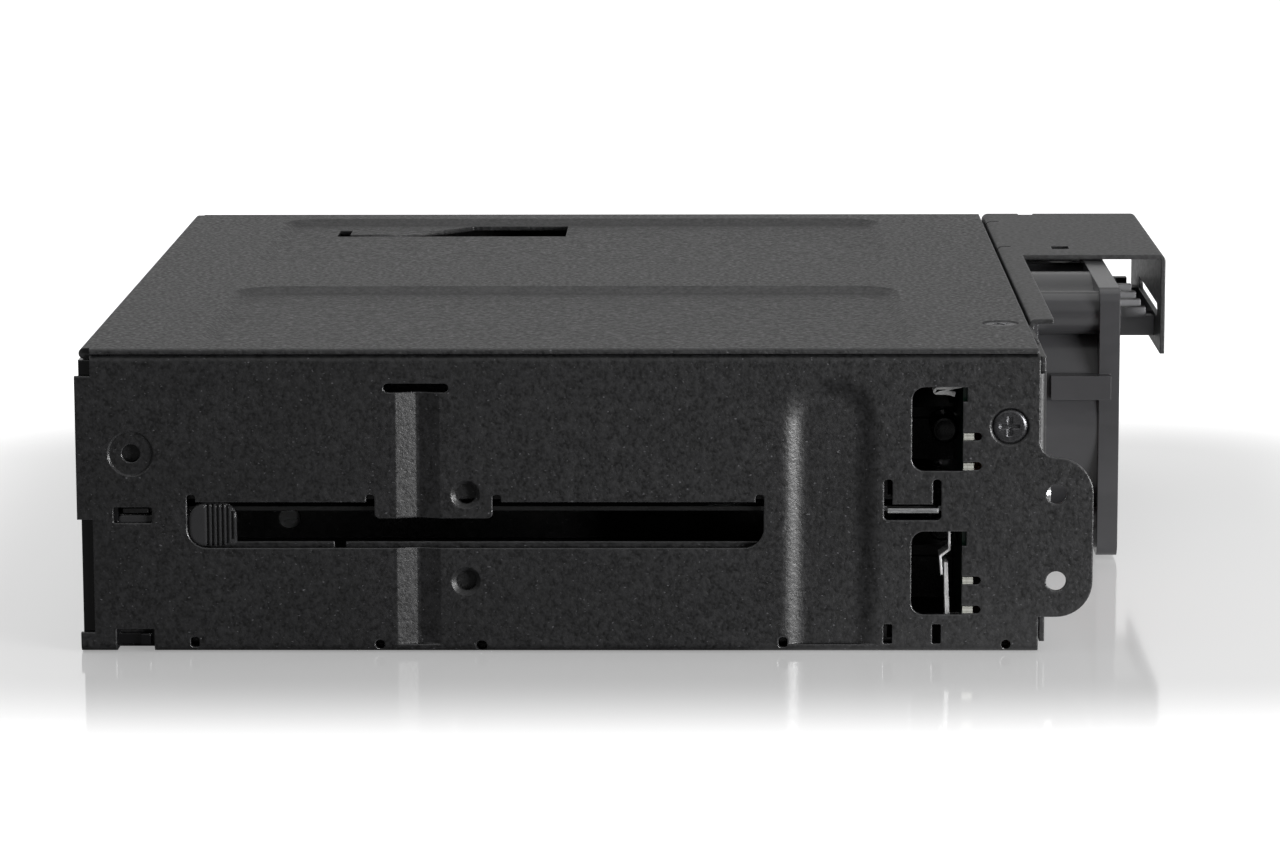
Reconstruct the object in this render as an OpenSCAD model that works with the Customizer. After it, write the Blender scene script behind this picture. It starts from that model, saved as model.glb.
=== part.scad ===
// Hot-swap drive cage for one 5.25 inch bay. Four 2.5 inch drive trays slide in from the front, in
// two rows and two columns. A backplane stands behind them, with a fan on the rear frame.
// Frame: +Z up, +Y to the rear, +X to the right of someone looking at the front.
// Origin: underside, centre line, midway between the front and rear side mounting holes.
// Modules draw with y counted from the front plane; in_place() moves them to the origin.

/* [Enclosure] */
// Width across the side panels
body_w = 146; // [145.8:0.1:146.4]
// Height from the underside to the top cover
body_h = 41.3; // [41.1:0.1:41.5]
// Depth of the side panels above the rear lobes
body_d = 129.2; // [129:0.1:129.3]
// Thickness of the steel sheet
sheet = 0.7; // [0.65:0.05:0.75]
// Depth of the pressed channels and panels
press = 0.8; // [0.5:0.1:0.8]

/* [Side mounting holes] */
// Front plane to the first holes
hole_front = 52.3; // [52:0.1:52.5]
// First holes to the rear holes
hole_pitch = 79.25; // [79:0.05:79.5]
// Underside to the lower holes
hole_low = 9.7; // [9.5:0.1:10]
// Lower holes to the upper holes
hole_rise = 11.84; // [11.7:0.02:11.9]
// Radius of the threaded holes
hole_r = 1.35; // [1.25:0.05:1.5]

/* [Trays] */
// Width of a tray
tray_w = 70.9; // [70.6:0.1:70.9]
// Height of a tray's front bezel
tray_h = 17.6; // [17:0.1:17.6]
// Underside of a lower tray
row_low = 1; // [0.9:0.1:1.1]
// Lower row to the upper row
row_pitch = 19.6; // [19.6:0.1:19.8]
// Centre line to the middle of a column
column_x = 35.85; // [35.8:0.05:35.9]

/* [Fan] */
// Side of the square fan
fan_size = 40; // [38:1:40]
// Thickness of the fan
fan_t = 15; // [10:1:15]
// Number of blades
fan_blades = 7; // [5:1:9]

/* [Hidden] */
$fn = 48;

cut = 1;                             // how far a cutter runs past what it cuts
open = 0.3;                          // how far a pressing's outline runs above the sheet
origin_d = hole_front + hole_pitch / 2;
half_w = body_w / 2;
inner_x = half_w - sheet;            // inside face of a side panel
side_h = body_h - sheet - 0.15;      // top of the side panels' lips
bend_r = 1;                          // outside radius of a fold
lip_w = 4.3;                         // inward lip under the cover
front_step = 2.1;                    // depth of the notches in the front edge
shelf_z = 19;
shelf_t = 0.6;
foot_places = [30, 70];              // tabs of the lower divider in the base
slide_r = 1.2;                       // shank radius of the case screws
csk_r = 2.65;                        // mouth of a countersink
screw_d = 125.2;                     // front plane to the case screws
side_screw_z = 30.75;
top_screw_x = 49.6;
board_d = 119;                       // front face of the backplane
board_t = 1.4;
ear_rows = [5.75, 9.75, 25.3, 29.35];
frame_d = body_d + 0.2;              // front face of the rear frame
fan_x = -10;
fan_z = 20.4;
fan_d = frame_d + sheet + 0.05;
bore_r = fan_size / 2 - 1.1;         // inside of the fan's barrel
hub_r = 9.3;
strip_x = 45.9;                      // where the rear frame's top strip begins
guard_x = -21.6;                     // where the guard over the inlets begins
guard_d = 154.7;                     // rear face of the guard
guard_low = 26;                      // lower edge of the guard's drop
lobe_r = 4.9;                        // rounding of the rear lobes, around their holes
spacer_places = [[66, 20.5], [12.6, 15.6], [-35, 14.5], [-66, 31.5]];
port_places = [[28, 12], [52, 12], [28, 29], [52, 29]];
inlet_places = [[-52, 9], [-52, 20]];
shroud = [-69.5, 34, -31, 39.1];      // power socket under the guard: x and z of its lower left and upper right
cap_places = [[59, 29], [52, 13.5]];
tray_places = [[-column_x, row_low + row_pitch], [column_x, row_low + row_pitch],
               [-column_x, row_low], [column_x, row_low]];
pan_wall = 0.45;
pan_floor = 0.6;
pan_front = 9.5;
pan_back = 111;
pan_wall_h = 13.8;
drive_front = 12.4;
socket_offset = -9.4;                // socket centre from the column's centre
pivot_x = -31.8;                     // handle pivot in a tray's own frame
pivot_d = 3.1;
pin_r = 0.75;
handle_end = 22.1;
rail = 1.5;                          // bezel rails above and below the handle
lock_x = 29;
lock_z = 5.2;
lens_z = 8.6;
button_low = 10.2;
button_high = 15.2;

// ---- drawing helpers -------------------------------------------------------------------------

module in_place() translate([0, -origin_d, 0]) children();

module area(x0, y0, x1, y1) translate([x0, y0]) square([x1 - x0, y1 - y0]);

module rounded_area(x0, y0, x1, y1, r) {
    area(x0 + r, y0, x1 - r, y1);
    area(x0, y0 + r, x1, y1 - r);
    for (x = [x0 + r, x1 - r], y = [y0 + r, y1 - r]) translate([x, y]) circle(r);
}

// A slot with round ends, along x
module long_slot(x, y, length, width) {
    area(x - (length - width) / 2, y - width / 2, x + (length - width) / 2, y + width / 2);
    for (s = [-1, 1]) translate([x + s * (length - width) / 2, y]) circle(width / 2);
}

// A quarter of a ring in the quadrant that (sx, sy) points to
module fold(x, y, sx, sy, r = bend_r, t = sheet)
    translate([x, y]) scale_to(sx, sy) intersection() {
        difference() {
            circle(r);
            circle(r - t);
        }
        square(r + cut);
    }

module scale_to(sx, sy) mirror([sx < 0 ? 1 : 0, 0]) mirror([0, sy < 0 ? 1 : 0]) children();

module block(x0, x1, y0, y1, z0, z1) translate([x0, y0, z0]) cube([x1 - x0, y1 - y0, z1 - z0]);

// Raises a drawing in (y, z) along +X
module side_on(x0, t) translate([x0, 0, 0]) rotate([90, 0, 90]) linear_extrude(t) children();

// Raises a drawing in (x, z) along +Y
module face_on(y0, t) translate([0, y0 + t, 0]) rotate([90, 0, 0]) linear_extrude(t) children();

module rod_x(x0, x1, y, z, r) translate([x0, y, z]) rotate([0, 90, 0]) cylinder(r = r, h = x1 - x0);

module rod_y(y0, y1, x, z, r) translate([x, y0, z]) rotate([-90, 0, 0]) cylinder(r = r, h = y1 - y0);

module both_sides() for (s = [0, 1]) mirror([s, 0, 0]) children();

// A countersunk screw with a cross recess: head flush at z = 0, shank down to -length
module flat_screw(length, head_r = 2.3, shank = slide_r) difference() {
    union() {
        translate([0, 0, -0.75]) cylinder(r1 = shank + 0.1, r2 = head_r, h = 0.6);
        translate([0, 0, -length]) cylinder(r = shank, h = length - 0.7);
    }
    cross_recess(0.6);
}

// A round-headed screw: head on z = 0, shank down to -length
module pan_screw(length, head_r, head_h, shank) difference() {
    union() {
        cylinder(r1 = head_r, r2 = head_r * 0.8, h = head_h);
        translate([0, 0, -length]) cylinder(r = shank, h = length + head_h / 2);
    }
    translate([0, 0, head_h]) cross_recess(head_h * 0.7);
}

module cross_recess(depth) for (a = [0, 90]) rotate(a)
    translate([-1.3, -0.28, -depth]) cube([2.6, 0.56, depth + 1]);

// ---- sheet metal -----------------------------------------------------------------------------

// Points of a smooth step that falls by depth over width, as two equal arcs of n chords each
function soft_step(width, depth, n = 5) = let(
        bend = 2 * atan(depth / width),
        r = width / 2 / sin(bend),
        down = [for (i = [0:n]) [r * sin(bend * i / n), r * cos(bend * i / n) - r]])
    concat(down, [for (i = [n - 1:-1:0]) [width - down[i][0], -depth - down[i][1]]]);

function flipped(points) = [for (i = [len(points) - 1:-1:0]) points[i]];

// Outline of a pressing between two edges, open at the top
function trough(from, to, width, depth) = let(step = soft_step(width, depth)) concat(
    [[from, open]], [for (p = step) [from + p[0], p[1]]],
    flipped([for (p = step) [to - p[0], p[1]]]), [[to, open]]);

// The same pressing's outline from the middle of a round end
function round_end(r, width, depth) = let(step = soft_step(width, depth))
    concat([[0, open], [0, -depth]], flipped([for (p = step) [r - p[0], p[1]]]), [[r, open]]);

// The hollow pressed down into a sheet whose top is at z = 0
module dish(x0, y0, x1, y1, r, depth, slope) {
    for (x = [x0 + r, x1 - r], y = [y0 + r, y1 - r])
        translate([x, y, -depth]) cylinder(r1 = r - slope, r2 = r, h = depth);
    side_on(x0 + r, x1 - x0 - 2 * r)
        polygon([[y0, 0], [y0 + slope, -depth], [y1 - slope, -depth], [y1, 0]]);
    face_on(y0 + r, y1 - y0 - 2 * r)
        polygon([[x0, 0], [x0 + slope, -depth], [x1 - slope, -depth], [x1, 0]]);
    linear_extrude(open) rounded_area(x0, y0, x1, y1, r);
}

// Turns a drawing whose second axis is height above a panel to face out of the right side panel
module on_side() translate([half_w, 0, 0]) rotate([0, 0, 90]) mirror([0, 1, 0]) children();

// Upright channels pressed into the right side panel: a narrow V, and a wide one with a round top
module side_channels() {
    v = [43, 48.9];
    translate([0, 0, bend_r]) linear_extrude(35) on_side()
        polygon([[v[0], open], [v[0], 0], [45.7, -press], [46.1, -press], [v[1], 0], [v[1], open]]);
    wide = [94.5, 107.9];
    mid = (wide[0] + wide[1]) / 2;
    end_z = 31.4;
    slope = 3.6;
    translate([0, 0, bend_r]) linear_extrude(end_z - bend_r) on_side()
        polygon(trough(wide[0], wide[1], slope, press));
    translate([half_w, mid, end_z]) rotate([0, 90, 0]) rotate_extrude()
        polygon(round_end(wide[1] - mid, slope, press));
}

// Window beside the backplane, with two notches for the board's ears
module socket_window(low) {
    rounded_area(112.1, low, 118.9, low + 11.4, 1.7);
    area(115, low, 118.9, low + 2);
    area(115, low + 9.4, 119.5, low + 11.4);
    for (z = [0.15, 4.15]) {
        area(118, low + z, 120.9, low + z + 1.1);
        translate([120.9, low + z + 0.55]) circle(0.55);
    }
}

// Long slot with a tab hanging into it, and relief notches where edges meet
module side_slot() {
    top = 20.5;
    low = 14.2;
    difference() {
        union() {
            rounded_area(14.8, low, 92.3, top, 2.7);
            area(14.8, low + 3, 92.3, top);
        }
        rounded_area(40.05, 18.3, 55.9, top + cut, 0.7);
    }
    for (y = [14.8, 38.9, 55.9, 91.2]) rounded_area(y, top - 1.4, y + 1.15, top + 1, 0.4);
}

module side_openings() {
    translate([7.4, 27.1]) circle(1.25);
    rounded_area(4.9, 17.6, 10.1, 19.8, 0.3);
    side_slot();
    long_slot(45.75, 36, 8.7, 1.25);
    for (low = [5.1, 24.7]) socket_window(low);
    for (y = [108.4, 114.95]) rounded_area(y, 18.4, y + 1.15, 23.6, 0.5);
    rounded_area(108.4, 18, 116.1, 20.2, 0.6);
    for (y = [108.4, 114.95]) rounded_area(y, 1.1, y + 1.2, 3.8, 0.2);
    for (y = [40.6, 124.9]) translate([y, 1]) circle(0.65);
    for (y = [15, 94.3]) rounded_area(y, 0.6, y + 1.2, 2, 0.4);
    translate([54.3, 0.8]) circle(0.75);
    area(-cut, 2.6, front_step, 18.1);
    area(-cut, 37.6, front_step, side_h + cut);
    area(-cut, -cut, 0.2, 2.6);
}

// Rear lobe that carries the rear mounting holes
module lobe() {
    y = hole_front + hole_pitch;
    low = hole_low;
    high = hole_low + hole_rise;
    area(body_d - 1, low - lobe_r, y, high + lobe_r);
    area(body_d - 1, low, y + lobe_r, high);
    for (z = [low, high]) translate([y, z]) circle(lobe_r);
    r = 2.45;
    difference() {
        area(body_d - 1, high + lobe_r - 1, body_d + r, high + lobe_r + r);
        translate([body_d + r, high + lobe_r + r]) circle(r);
    }
}

module base_openings() {
    both_sides() {
        for (i = [0:5]) long_slot(36, 24 + i * 7, 34, 2.6);
        for (i = [0:3]) long_slot(36, 84 + i * 7, 34, 2.6);
        area(69.5, 5, half_w + cut, 10.1);
    }
    for (y = foot_places) area(-0.35, y - 4.1, 0.35, y + 4.1);
}

module chassis() color("#2b2b2d") difference() {
    union() {
        face_on(0, body_d) difference() {
            rounded_area(-half_w, 0, half_w, side_h, bend_r);
            rounded_area(-inner_x, sheet, inner_x, side_h - sheet, bend_r - sheet);
            area(lip_w - inner_x, side_h / 2, inner_x - lip_w, side_h + cut);
        }
        both_sides() {
            side_on(inner_x, sheet) lobe();
            intersection() {
                translate([-sheet, 0, 0]) side_channels();
                block(0, half_w, 0, body_d, bend_r, side_h);
            }
            for (z = [0, hole_rise]) rod_x(inner_x - press, inner_x + 0.1, hole_front, hole_low + z, 1.85);
        }
    }
    both_sides() {
        side_channels();
        side_on(inner_x - 2, sheet + 3) side_openings();
        for (y = [0, hole_pitch], z = [0, hole_rise])
            rod_x(inner_x - 2, half_w + cut, hole_front + y, hole_low + z, hole_r);
        for (z = [0, hole_rise]) translate([half_w - 0.5, hole_front, hole_low + z]) rotate([0, 90, 0])
            cylinder(r1 = hole_r, r2 = hole_r + 0.6, h = 0.501);
        translate([inner_x - 0.01, screw_d, side_screw_z]) rotate([0, 90, 0])
            cylinder(r1 = csk_r - sheet, r2 = csk_r, h = sheet + 0.02);
        rod_x(half_w - 0.35, half_w + cut, 7.4, 27.1, 3.05);
        block(-cut, inner_x + 0.05, -cut, 4.8, side_h - sheet - 0.2, side_h + cut);
        block(69.5, half_w + cut, 5, 10.1, -cut, 3.1);
    }
    translate([0, 0, -cut]) linear_extrude(sheet + 2 * cut) base_openings();
}

// Opening in the cover with one edge swept in an arc, and the slit in front of it
module cover_opening() {
    difference() {
        area(-63.5, 25.5, -50.5, 62);
        translate([-77.6, 26]) circle(25);
    }
    area(-58, 25.5, -51, 27.5);
    area(-49.9, 21.9, -49.5, 23.8);
}

module top_cover() color("#3a3a3c") difference() {
    union() {
        face_on(front_step, body_d - front_step - 0.3) intersection() {
            rounded_area(-half_w, body_h - 2, half_w, body_h, 0.5);
            area(-half_w, body_h - sheet, half_w, body_h);
        }
        block(-71.8, 71.8, 1.3, front_step + 1, body_h - sheet, body_h);
        rod_x(-71.8, 71.8, 1.3, body_h - 0.75, 0.75);
        block(-71.8, 71.8, 1.3, 4.5, body_h - 1.5, body_h - sheet);
        both_sides() translate([0, 0, body_h - sheet]) dish(12.4, 16, 67, 112.3, 6, press, 2);
    }
    both_sides() translate([0, 0, body_h]) dish(12.4, 16, 67, 112.3, 6, press, 2);
    linear_extrude_at(body_h - 4, 6) cover_opening();
    translate([top_screw_x, screw_d, body_h - sheet - 0.01])
        cylinder(r1 = csk_r - sheet, r2 = csk_r, h = sheet + 0.02);
}

// Sprung fingers lanced from the shelf, rising towards the front
module shelf_finger() translate([62, 93, shelf_z + shelf_t / 2]) rotate([-6, 0, 0]) mirror([0, 1, 0])
    cube([6, 8.5, shelf_t / 2]);

module mid_shelf() color("#b9bcbf") {
    difference() {
        union() {
            linear_extrude_at(shelf_z, shelf_t) rounded_area(-71.2, 6, 71.2, 117.5, 1);
            both_sides() for (y = [[6.2, 9.6], [108.9, 115.7]])
                block(70, half_w - 0.1, y[0], y[1], shelf_z, shelf_z + shelf_t);
        }
        linear_extrude_at(shelf_z - cut, shelf_t + 2 * cut) {
            both_sides() {
                area(61, 79.5, 69, 93);
                for (i = [0:5]) long_slot(33, 20 + i * 10, 44, 4);
                long_slot(33, 88, 44, 4);
                long_slot(33, 98, 44, 4);
            }
            for (y = [30, 45, 75, 90]) area(-0.35, y - 4.1, 0.35, y + 4.1);
        }
    }
    both_sides() shelf_finger();
}

module linear_extrude_at(z, t) translate([0, 0, z]) linear_extrude(t) children();

// Upright wall between the two columns, with lightening slots
module divider(low, high, foot_tabs, head_tabs) color("#b9bcbf") side_on(-0.25, 0.5) {
    difference() {
        area(6, low, 117.5, high);
        for (i = [0:4]) long_slot(22 + i * 19.5, (low + high) / 2, 14, 6);
    }
    for (y = foot_tabs) area(y - 4, low - 0.55, y + 4, low + 0.1);
    for (y = head_tabs) area(y - 4, high - 0.1, y + 4, high + 0.5);
}

module lower_divider() divider(sheet + 0.05, shelf_z - 0.05, foot_places, [30, 90]);

module upper_divider() divider(shelf_z + shelf_t + 0.05, body_h - sheet - 0.05, [45, 75], []);

// Plastic frame between the trays and the folded steel
module front_frame() color("#161617") {
    face_on(0.5, 5) difference() {
        area(-72.2, sheet + 0.05, 72.2, body_h - 1.6);
        both_sides() {
            area(0.3, sheet + 0.15, 71.4, row_low + tray_h + 0.1);
            area(0.3, row_low + row_pitch - 0.1, 71.4, row_low + row_pitch + tray_h + 0.1);
        }
    }
    both_sides() {
        block(71.45, 72.2, 5.4, 9.6, 0.9, 2.4);
        block(72.1, 72.8, 8.2, 9.6, 0.9, 2.4);
    }
}

// Snap arms of the front frame, with a fluted pad that shows in each long slot
module side_clips() color("#1c1c1e") both_sides() difference() {
    union() {
        side_on(71.6, 0.6) {
            rounded_area(5.55, 14.5, 21.4, 18.6, 0.5);
            rounded_area(15.1, 14.4, 21.4, 20.3, 2);
        }
        side_on(72.1, 0.6) rounded_area(15.1, 14.5, 21.4, 20.2, 2);
    }
    for (i = [0:5]) block(72.35, 73, 17.4 + i * 0.66, 17.73 + i * 0.66, 14, 21);
}

// ---- rear frame ------------------------------------------------------------------------------

// Upright plate folded to the rear along its top, drawn in (y, z)
module strip_section(reach) {
    area(frame_d, body_h - 2, frame_d + sheet, body_h - bend_r);
    fold(frame_d + bend_r, body_h - bend_r, -1, 1);
    area(frame_d + bend_r, body_h - sheet, reach, body_h);
}

module rear_openings() {
    translate([fan_x, fan_z]) {
        circle(bore_r - 0.15);
        for (x = [-1, 1], z = [-1, 1]) translate([16 * x, 16 * z]) circle(1.55);
    }
    for (p = port_places) rounded_area(p[0] - 8.7, p[1] - 3.9, p[0] + 8.7, p[1] + 3.9, 0.5);
    for (p = inlet_places) rounded_area(p[0] - 12.4, p[1] - 3.7, p[0] + 12.4, p[1] + 3.7, 0.5);
    area(shroud[0] - 0.2, shroud[1] - 0.2, shroud[2] + 0.2, shroud[3] + 0.2);
    for (p = spacer_places) translate(p) circle(1.35);
    rounded_area(-36, 5.6, -31.4, 10.4, 1.2);
    rounded_area(61.8, 11.2, 67.2, 12.8, 0.3);
    for (i = [0:5]) long_slot(28 + 24 * (i % 2), 35.2 + 2 * floor(i / 2) - 1.6, 16, 1.1);
    for (i = [0:1], x = [28, 52]) long_slot(x, 19.5 + i * 2.6, 16, 1.2);
}

module rear_frame() color("#2f2f31") difference() {
    union() {
        face_on(frame_d, sheet) difference() {
            union() {
                area(-72.2, 1.3, 72.2, body_h - 1.5);
                area(-half_w, body_h - 4, strip_x, body_h - bend_r);
            }
            for (x = [-72.2, 71.2]) area(x - 1, 26.5, x + 2, 38);
            area(70.2, 37.8, half_w, 40);
            rear_openings();
        }
        side_on(-half_w, strip_x + half_w) strip_section(132.8);
        side_on(-half_w, guard_x + half_w) {
            area(frame_d + 3, body_h - sheet, guard_d - bend_r, body_h);
            fold(guard_d - bend_r, body_h - bend_r, 1, 1);
            area(guard_d - sheet, guard_low, guard_d, body_h - bend_r);
        }
        both_sides() linear_extrude_at(26.7, 11.1) {
            area(70, frame_d, 71.2, frame_d + sheet);
            fold(71.2, frame_d + sheet - bend_r, 1, 1);
            area(72.2 - sheet, 121.6, 72.2, frame_d + sheet - bend_r);
        }
        side_on(46.8, 11.2) {
            area(frame_d, 38, frame_d + sheet, 39.55);
            fold(frame_d + sheet - bend_r, 39.55, 1, 1);
            area(121.6, 39.55 + bend_r - sheet, frame_d + sheet - bend_r, 39.55 + bend_r);
        }
    }
    both_sides() rod_x(70, half_w, screw_d, side_screw_z, slide_r + 0.05);
    translate([top_screw_x, screw_d, 38]) cylinder(r = slide_r + 0.05, h = 4);
    face_on(guard_d - 2, 4) long_slot(-43, 32, 32, 2);
    linear_extrude_at(body_h - 2, 3) {
        area(-32, 137.8, -28.6, 140.5);
        area(-half_w - cut, 135.3, -71.6, 137.7);
        for (x = [-62.6, -31.6]) area(x - 0.5, frame_d - cut, x + 0.5, frame_d + 2.2);
        area(-51, guard_d - 0.8, -50, guard_d + cut);
    }
}

module case_screws() color("#4a4a4d") {
    both_sides() translate([half_w, screw_d, side_screw_z]) rotate([0, 90, 0]) flat_screw(4);
    translate([top_screw_x, screw_d, body_h]) rotate(30) flat_screw(4);
}

// ---- backplane and connectors ----------------------------------------------------------------

module backplane_board() color("#1f5136") face_on(board_d, board_t) difference() {
    union() {
        area(-71.2, 2.2, 71.2, 38.6);
        both_sides() for (z = ear_rows) area(70, z - 0.45, half_w - 0.1, z + 0.45);
    }
    rounded_area(-22.8, 4, 3.6, 36.8, 3);
    for (p = spacer_places) translate(p) circle(1.3);
    for (i = [0:2]) long_slot(57, 13 + i * 3, 8, 1.4);
}

module board_spacers() color("#b79a55") for (p = spacer_places) difference() {
    rod_y(board_d + board_t, frame_d, p[0], p[1], 2.2);
    rod_y(board_d, frame_d + cut, p[0], p[1], 1.25);
}

module spacer_screws() color("#8f9194") for (p = spacer_places) {
    translate([p[0], frame_d + sheet, p[1]]) rotate([-90, 0, 0]) pan_screw(4, 2.2, 1, 1.2);
    translate([p[0], board_d, p[1]]) rotate([90, 0, 0]) pan_screw(4, 2.2, 1, 1.2);
}

// One receptacle for each drive, with the mouth for its edge connector
module drive_sockets() color("#141415") for (p = tray_places) {
    x = p[0] + socket_offset;
    z = p[1] + pan_floor + 3.5;
    difference() {
        union() {
            block(x - 21, x + 21, 112.7, board_d, z - 2.9, z + 2.9);
            for (s = [-1, 1]) block(x + s * 18.6 - 1.6, x + s * 18.6 + 1.6, 112.7, board_d, z - 2.9, z + 4.4);
        }
        block(x - 16.6, x + 16.6, 112, 117.6, z - 1.1, z + 1.1);
        block(x - 3.2, x - 1.6, 112, 117.6, z - 1.1, z + 2);
    }
}

module data_ports() color("#b03a2e") for (p = port_places) difference() {
    face_on(board_d + board_t, 9.5) rounded_area(p[0] - 8.4, p[1] - 3.6, p[0] + 8.4, p[1] + 3.6, 0.6);
    face_on(board_d + board_t + 3, 8) difference() {
        rounded_area(p[0] - 7.2, p[1] - 2.5, p[0] + 7.2, p[1] + 2.5, 0.4);
        area(p[0] - 5.4, p[1] - 0.6, p[0] + 5.4, p[1] + 0.6);
        area(p[0] + 4.2, p[1] - 0.6, p[0] + 5.4, p[1] + 1.6);
    }
}

module power_inlets() color("#161617") {
    for (p = inlet_places) power_inlet(p);
    difference() {
        face_on(board_d + board_t, 23) rounded_area(shroud[0], shroud[1], shroud[2], shroud[3], 0.6);
        face_on(board_d + board_t + 12, 12) for (i = [0:7])
            area(shroud[0] + 1 + i * 4.65, shroud[1] + 1, shroud[0] + 4.95 + i * 4.65, shroud[3] - 1);
    }
}

module power_inlet(p) difference() {
    face_on(board_d + board_t, 10.6) rounded_area(p[0] - 12.1, p[1] - 3.4, p[0] + 12.1, p[1] + 3.4, 0.6);
    face_on(board_d + board_t + 3, 9) difference() {
        rounded_area(p[0] - 10.9, p[1] - 2.4, p[0] + 10.9, p[1] + 2.4, 0.4);
        area(p[0] - 9.2, p[1] - 0.6, p[0] + 9.2, p[1] + 0.6);
        area(p[0] + 8, p[1] - 0.6, p[0] + 9.2, p[1] + 1.6);
    }
}

// Capacitors lying on the backplane, one of them beside the upper right window
module capacitors() color("#26262b") for (p = cap_places) {
    rod_x(p[0], p[0] + 11, 115.8, p[1], 2.35);
    for (z = [p[1] - 1, p[1] + 1]) {
        rod_x(p[0] - 1.6, p[0] + 0.1, 115.8, z, 0.25);
        rod_y(115.8, board_d, p[0] - 1.6, z, 0.25);
    }
}

// Cranked earth spring and the stiffer plate that it laps, beside the lower windows
module ground_clips() color("#c4c7ca") both_sides() side_on(67, 4) {
    polygon([[117.15, 17.2], [117.15, 13.7], [115.95, 12.8], [116.15, 10.2], [116.45, 10.2], [116.27, 12.65],
             [117.45, 13.55], [117.45, 17.2], [board_d, 17.2], [board_d, 17.5], [117.15, 17.5]]);
    polygon([[116.6, 11.9], [116.8, 3.6], [board_d, 3.6], [board_d, 4.2], [117.4, 4.2], [117.1, 11.9]]);
}

// Ribbed shelf on the guard's drop that keeps the power leads off the fan
module cable_comb() color("#3c3c40") difference() {
    front = frame_d + 2;
    back = guard_d - sheet;
    union() {
        block(-67, -32, front, back - 1.4, 27.3, 30.4);
        for (i = [0:4]) block(-67 + i * 8.5, -65.1 + i * 8.5, front, back - 1.4, 30.3, 31.8);
        for (x = [-67, -38]) block(x, x + 6, back - 1.5, back, 27.3, 30.4);
    }
    for (i = [0:3]) rod_y(front - cut, back, -61.6 + i * 8.5, 31.2, 2.1);
}

// ---- fan -------------------------------------------------------------------------------------

module in_fan() translate([fan_x, fan_d, fan_z]) children();

module fan_square() difference() {
    rounded_area(-fan_size / 2, -fan_size / 2, fan_size / 2, fan_size / 2, 2.2);
    circle(bore_r);
    for (x = [-1, 1], z = [-1, 1]) translate([16 * x, 16 * z]) circle(1.6);
}

module fan_frame() color("#1b1b1c") in_fan() {
    face_on(0, 3) fan_square();
    face_on(fan_t - 3, 3) fan_square();
    face_on(0, fan_t) difference() {
        circle(bore_r + 0.85);
        circle(bore_r);
    }
    face_on(0, fan_t) intersection() {
        square(fan_size - 0.6, center = true);
        for (x = [-1, 1], z = [-1, 1]) translate([16 * x, 16 * z]) difference() {
            circle(3.2);
            circle(1.6);
        }
    }
    difference() {
        face_on(fan_t - 2.2, 2.2) {
            circle(hub_r + 0.2);
            for (a = [45, 135, 225, 315]) rotate(a) area(hub_r - 1, -1, bore_r + 0.4, 1);
        }
        rod_y(0, fan_t - 1, 0, 0, 2);
    }
    block(fan_size / 2 - 0.6, fan_size / 2 + 2.4, 4.8, 13.6, 4, 7.5);
}

module fan_bearing() color("#a8842c") in_fan() difference() {
    rod_y(4, fan_t - 1.1, 0, 0, 1.95);
    rod_y(3, fan_t - 1.6, 0, 0, 0.81);
}

module fan_stator() color("#8a4b22") in_fan() difference() {
    union() {
        for (a = [0, 90]) face_on(5.4, 5.2) rotate(a) area(-7, -1.4, 7, 1.4);
        for (a = [0:90:270]) face_on(4.8, 6.4) rotate(a) area(3.6, -2.2, 5.8, 2.2);
        rod_y(4.6, 11.4, 0, 0, 3.2);
    }
    rod_y(4, 12, 0, 0, 2);
}

// Blades are flat plates set at an angle between the hub and the barrel
module fan_rotor() color("#232325") in_fan() {
    difference() {
        rod_y(1.2, 12.4, 0, 0, hub_r - 0.2);
        rod_y(2.4, 13, 0, 0, hub_r - 1.2);
    }
    rod_y(2, fan_t - 2, 0, 0, 0.75);
    intersection() {
        for (i = [0:fan_blades - 1]) rotate([0, i * 360 / fan_blades, 0])
            translate([hub_r - 0.6, 6.6, 0]) rotate([38, 0, 0]) translate([0, -5.6, -0.45]) cube([9.4, 11.2, 0.9]);
        difference() {
            rod_y(1.6, 11.8, 0, 0, bore_r - 0.5);
            rod_y(1, 12, 0, 0, hub_r - 0.6);
        }
    }
}

module fan_screws() color("#8f9194") in_fan() for (x = [-1, 1], z = [-1, 1])
    translate([16 * x, frame_d - fan_d, 16 * z]) rotate([90, 0, 0]) pan_screw(fan_t - 0.5, 2.6, 1.3, 1.45);

// Three leads from the motor, round the fan's side and through the frame to the backplane
module fan_cable() color("#8c1d18") {
    end = board_d + board_t + 5.65;
    for (i = [-1:1]) linear_extrude_at(7.55 + i * 1.1, 0.9)
        polygon([[-30, fan_d + 13.15], [-30.75, fan_d + 13.15], [-30.75, fan_d + 1.8], [-34.05, fan_d - 2.2],
                 [-34.05, end], [-34.95, end], [-34.95, fan_d - 2.6], [-31.65, fan_d + 1.4],
                 [-31.65, fan_d + 14.05], [-30, fan_d + 14.05]]);
}

module fan_header() color("#e2dfd2") difference() {
    block(-37, -32, board_d + board_t, board_d + board_t + 5.6, 4, 12);
    block(-36.3, -32.7, board_d + board_t + 5, board_d + board_t + 6, 4.6, 11.4);
}

module fan_switch() color("#9a9da0") difference() {
    block(60.8, 68.6, 124, frame_d, 9.8, 14.2);
    block(61.7, 67.3, 126.6, frame_d + cut, 11.1, 12.9);
}

module fan_switch_knob() color("#d8d8d6") {
    block(62, 64, 126.8, frame_d + 2.4, 11.35, 12.65);
}

// ---- trays, each drawn in its own frame: x from its middle, z from its underside ---------------

module at_tray(n) translate([tray_places[n - 1][0], 0, tray_places[n - 1][1]]) children();

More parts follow.
